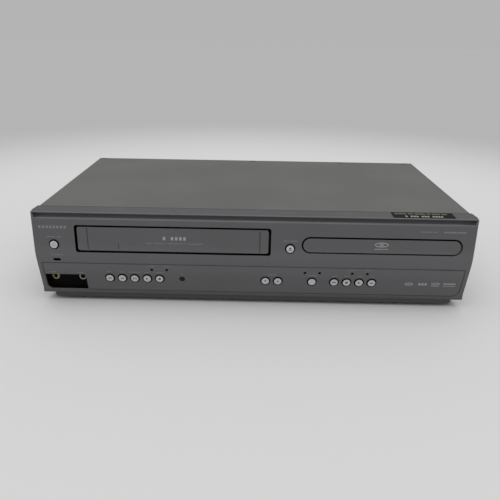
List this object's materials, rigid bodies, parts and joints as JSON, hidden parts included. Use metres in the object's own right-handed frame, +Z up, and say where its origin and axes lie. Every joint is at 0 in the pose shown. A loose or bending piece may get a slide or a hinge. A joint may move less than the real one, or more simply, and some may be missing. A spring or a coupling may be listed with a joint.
{
  "type": "disc and cassette combination player",
  "caption": "Flat grey home video player with a hinged cassette flap on the left, a sliding disc tray on the right and round push buttons.",
  "frame": {"origin": "middle of the bounding box, on the plane under the feet", "axes": "+X to the viewer's right, -Y out of the front panel, +Z up"},
  "size_m": [0.4384, 0.24, 0.1005],
  "materials": {
    "cover_paint": "matt grey paint, fine texture",
    "panel_plastic": "grey moulded plastic",
    "chassis_plastic": "dark grey moulded plastic",
    "zinc_steel": "zinc plated sheet",
    "polished_steel": "ground steel",
    "black_plastic": "black",
    "smoked_window": "smoked gloss",
    "button_plastic": "light grey satin",
    "white_nylon": "natural nylon",
    "jack_plastic": "yellow and white jack rings",
    "circuit_board": "solder resist",
    "rubber": "black rubber",
    "drum_metal": "turned aluminium",
    "screw_metal": "blackened steel"
  },
  "bodies": {
    "root": {"top_cover": "cover_paint", "front_panel": "panel_plastic", "bottom_chassis": "chassis_plastic", "rear_panel": "zinc_steel", "feet": "rubber", "cover_screws": "screw_metal", "cord_gland": "black_plastic", "panel_windows": "smoked_window", "front_av_jacks": "jack_plastic", "front_board": "circuit_board", "flap_spring": "polished_steel", "deck_chassis": "zinc_steel", "carriage_brackets": "zinc_steel", "lower_drum": "drum_metal", "capstan_motor": "zinc_steel", "reel_belt": "rubber", "tape_heads": "polished_steel", "loader_frame": "black_plastic", "tray_motor": "zinc_steel", "tray_belt": "rubber", "clamp_bridge": "zinc_steel", "main_board": "circuit_board", "power_board": "circuit_board", "rf_tuner": "zinc_steel", "rear_av_jacks": "black_plastic"},
    "flap": {"cassette_flap": "panel_plastic"},
    "tray": {"disc_tray": "black_plastic", "tray_bezel": "panel_plastic"},
    "tray_gear": {"tray_gear": "white_nylon"},
    "motor_pulley": {"motor_pulley": "white_nylon"},
    "disc_clamp": {"disc_clamp": "white_nylon"},
    "traverse": {"traverse": "black_plastic"},
    "turntable": {"turntable": "black_plastic"},
    "pickup": {"pickup": "black_plastic"},
    "lead_screw": {"lead_screw": "polished_steel"},
    "upper_drum": {"upper_drum": "drum_metal"},
    "capstan": {"capstan": "polished_steel"},
    "reel_clutch": {"reel_clutch": "white_nylon"},
    "pinch_arm": {"pinch_arm": "zinc_steel"},
    "pinch_roller": {"pinch_roller": "rubber"},
    "supply_reel": {"supply_reel": "white_nylon"},
    "takeup_reel": {"takeup_reel": "white_nylon"},
    "supply_guide": {"supply_guide": "polished_steel"},
    "takeup_guide": {"takeup_guide": "polished_steel"},
    "carriage_slider": {"carriage_slider": "white_nylon"},
    "cassette_holder": {"cassette_holder": "zinc_steel"},
    "button_power": {"button_power": "button_plastic"},
    "button_tray_open": {"button_tray_open": "button_plastic"},
    "button_rewind": {"button_rewind": "button_plastic"},
    "button_fast_forward": {"button_fast_forward": "button_plastic"},
    "button_stop_eject": {"button_stop_eject": "button_plastic"},
    "button_tape_play": {"button_tape_play": "button_plastic"},
    "button_record": {"button_record": "button_plastic"},
    "button_channel_down": {"button_channel_down": "button_plastic"},
    "button_channel_up": {"button_channel_up": "button_plastic"},
    "button_source": {"button_source": "button_plastic"},
    "button_skip_back": {"button_skip_back": "button_plastic"},
    "button_disc_stop": {"button_disc_stop": "button_plastic"},
    "button_disc_play": {"button_disc_play": "button_plastic"},
    "button_skip_forward": {"button_skip_forward": "button_plastic"}
  },
  "joints": [
    {"name": "flap_hinge", "type": "hinge", "parent": "root", "child": "flap", "pos_m": [-0.07988, -0.10975, 0.0905], "axis": [1, 0, 0], "range_deg": [0, 100], "stiffness_Nm_per_rad": 0.004, "springref_deg": -17.19},
    {"name": "tray_slide", "type": "slide", "parent": "root", "child": "tray", "axis": [0, -1, 0], "range_m": [0, 0.135]},
    {"name": "tray_gear_spin", "type": "hinge", "parent": "root", "child": "tray_gear", "pos_m": [0.08418, -0.08925, 0.0664], "axis": [0, 0, 1], "range_deg": [0, 775]},
    {"name": "motor_pulley_spin", "type": "hinge", "parent": "root", "child": "motor_pulley", "pos_m": [0.12718, -0.08925, 0.0464], "axis": [0, 0, 1], "range_deg": [0, 3095]},
    {"name": "traverse_tilt", "type": "hinge", "parent": "root", "child": "traverse", "pos_m": [0.12718, 0.05174, 0.0534], "axis": [1, 0, 0], "range_deg": [0, 5]},
    {"name": "turntable_spin", "type": "hinge", "parent": "traverse", "child": "turntable", "pos_m": [0.12718, -0.04225, 0.0524], "axis": [0, 0, 1], "continuous": true},
    {"name": "disc_clamp_spin", "type": "hinge", "parent": "root", "child": "disc_clamp", "pos_m": [0.12718, -0.04225, 0.0764], "axis": [0, 0, 1], "continuous": true},
    {"name": "pickup_slide", "type": "slide", "parent": "traverse", "child": "pickup", "axis": [0, 1, 0], "range_m": [0, 0.034]},
    {"name": "lead_screw_spin", "type": "hinge", "parent": "traverse", "child": "lead_screw", "pos_m": [0.16018, -0.01725, 0.0604], "axis": [0, 1, 0], "range_deg": [0, 3061]},
    {"name": "upper_drum_spin", "type": "hinge", "parent": "root", "child": "upper_drum", "pos_m": [-0.07988, 0.06874, 0.031], "axis": [-0.0698, 0, 0.9976], "continuous": true},
    {"name": "capstan_spin", "type": "hinge", "parent": "root", "child": "capstan", "pos_m": [-0.02188, 0.01675, 0.031], "axis": [0, 0, 1], "continuous": true},
    {"name": "reel_clutch_spin", "type": "hinge", "parent": "root", "child": "reel_clutch", "pos_m": [-0.07988, -0.01926, 0.031], "axis": [0, 0, 1], "continuous": true},
    {"name": "pinch_arm_swing", "type": "hinge", "parent": "root", "child": "pinch_arm", "pos_m": [0.00012, 0.03875, 0.031], "axis": [0, 0, 1], "range_deg": [0, 40]},
    {"name": "pinch_roller_spin", "type": "hinge", "parent": "pinch_arm", "child": "pinch_roller", "pos_m": [-0.02393, 0.0412, 0.031], "axis": [0, 0, 1], "continuous": true},
    {"name": "supply_reel_spin", "type": "hinge", "parent": "root", "child": "supply_reel", "pos_m": [-0.12588, -0.03326, 0.031], "axis": [0, 0, 1], "continuous": true},
    {"name": "takeup_reel_spin", "type": "hinge", "parent": "root", "child": "takeup_reel", "pos_m": [-0.03388, -0.03326, 0.031], "axis": [0, 0, 1], "continuous": true},
    {"name": "supply_guide_slide", "type": "slide", "parent": "root", "child": "supply_guide", "axis": [-0.225, 0.9744, 0], "range_m": [0, 0.053]},
    {"name": "takeup_guide_slide", "type": "slide", "parent": "root", "child": "takeup_guide", "axis": [0.225, 0.9744, 0], "range_m": [0, 0.053]},
    {"name": "carriage_slide", "type": "slide", "parent": "root", "child": "carriage_slider", "axis": [0, 1, 0], "range_m": [0, 0.036]},
    {"name": "holder_lower", "type": "slide", "parent": "carriage_slider", "child": "cassette_holder", "axis": [0, 0, -1], "range_m": [0, 0.022]},
    {"name": "press_power", "type": "slide", "parent": "root", "child": "button_power", "axis": [0, 1, 0], "range_m": [0, 0.0008], "stiffness_N_per_m": 250, "springref_m": -0.0004},
    {"name": "press_tray_open", "type": "slide", "parent": "root", "child": "button_tray_open", "axis": [0, 1, 0], "range_m": [0, 0.0008], "stiffness_N_per_m": 250, "springref_m": -0.0004},
    {"name": "press_rewind", "type": "slide", "parent": "root", "child": "button_rewind", "axis": [0, 1, 0], "range_m": [0, 0.0008], "stiffness_N_per_m": 250, "springref_m": -0.0004},
    {"name": "press_fast_forward", "type": "slide", "parent": "root", "child": "button_fast_forward", "axis": [0, 1, 0], "range_m": [0, 0.0008], "stiffness_N_per_m": 250, "springref_m": -0.0004},
    {"name": "press_stop_eject", "type": "slide", "parent": "root", "child": "button_stop_eject", "axis": [0, 1, 0], "range_m": [0, 0.0008], "stiffness_N_per_m": 250, "springref_m": -0.0004},
    {"name": "press_tape_play", "type": "slide", "parent": "root", "child": "button_tape_play", "axis": [0, 1, 0], "range_m": [0, 0.0008], "stiffness_N_per_m": 250, "springref_m": -0.0004},
    {"name": "press_record", "type": "slide", "parent": "root", "child": "button_record", "axis": [0, 1, 0], "range_m": [0, 0.0008], "stiffness_N_per_m": 250, "springref_m": -0.0004},
    {"name": "press_channel_down", "type": "slide", "parent": "root", "child": "button_channel_down", "axis": [0, 1, 0], "range_m": [0, 0.0008], "stiffness_N_per_m": 250, "springref_m": -0.0004},
    {"name": "press_channel_up", "type": "slide", "parent": "root", "child": "button_channel_up", "axis": [0, 1, 0], "range_m": [0, 0.0008], "stiffness_N_per_m": 250, "springref_m": -0.0004},
    {"name": "press_source", "type": "slide", "parent": "root", "child": "button_source", "axis": [0, 1, 0], "range_m": [0, 0.0008], "stiffness_N_per_m": 250, "springref_m": -0.0004},
    {"name": "press_skip_back", "type": "slide", "parent": "root", "child": "button_skip_back", "axis": [0, 1, 0], "range_m": [0, 0.0008], "stiffness_N_per_m": 250, "springref_m": -0.0004},
    {"name": "press_disc_stop", "type": "slide", "parent": "root", "child": "button_disc_stop", "axis": [0, 1, 0], "range_m": [0, 0.0008], "stiffness_N_per_m": 250, "springref_m": -0.0004},
    {"name": "press_disc_play", "type": "slide", "parent": "root", "child": "button_disc_play", "axis": [0, 1, 0], "range_m": [0, 0.0008], "stiffness_N_per_m": 250, "springref_m": -0.0004},
    {"name": "press_skip_forward", "type": "slide", "parent": "root", "child": "button_skip_forward", "axis": [0, 1, 0], "range_m": [0, 0.0008], "stiffness_N_per_m": 250, "springref_m": -0.0004}
  ],
  "couplings": [
    {"joint": "tray_gear_spin", "follows": "tray_slide", "rad_per_m": 100},
    {"joint": "motor_pulley_spin", "follows": "tray_slide", "rad_per_m": 400},
    {"joint": "disc_clamp_spin", "follows": "turntable_spin", "ratio": 1},
    {"joint": "lead_screw_spin", "follows": "pickup_slide", "rad_per_m": 1570.8},
    {"joint": "reel_clutch_spin", "follows": "capstan_spin", "ratio": 0.71429},
    {"joint": "takeup_guide_slide", "follows": "supply_guide_slide", "ratio": 1}
  ]
}
